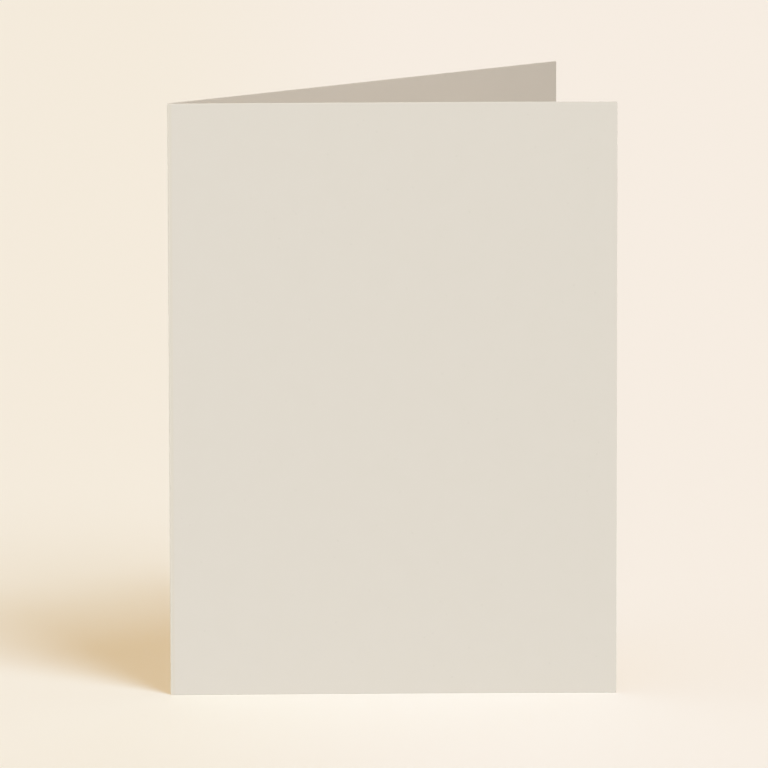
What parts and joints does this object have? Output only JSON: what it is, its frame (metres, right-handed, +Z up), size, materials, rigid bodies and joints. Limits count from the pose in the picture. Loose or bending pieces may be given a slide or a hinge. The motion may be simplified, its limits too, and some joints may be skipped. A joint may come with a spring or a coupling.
{
  "type": "greeting card",
  "caption": "Blank greeting card: one scored sheet of plain card stock, folded once along its left edge and standing open on its lower edges.",
  "frame": {"origin": "centre of the footprint's box, on the surface that the card stands on", "axes": "+Z up along the fold, -Y is the way the front panel faces, +X from the fold to the front panel's free edge"},
  "size_m": [0.1175, 0.057, 0.1587],
  "materials": {
    "card_stock": "matte"
  },
  "bodies": {
    "root": {"folded_card": "card_stock"}
  },
  "joints": []
}
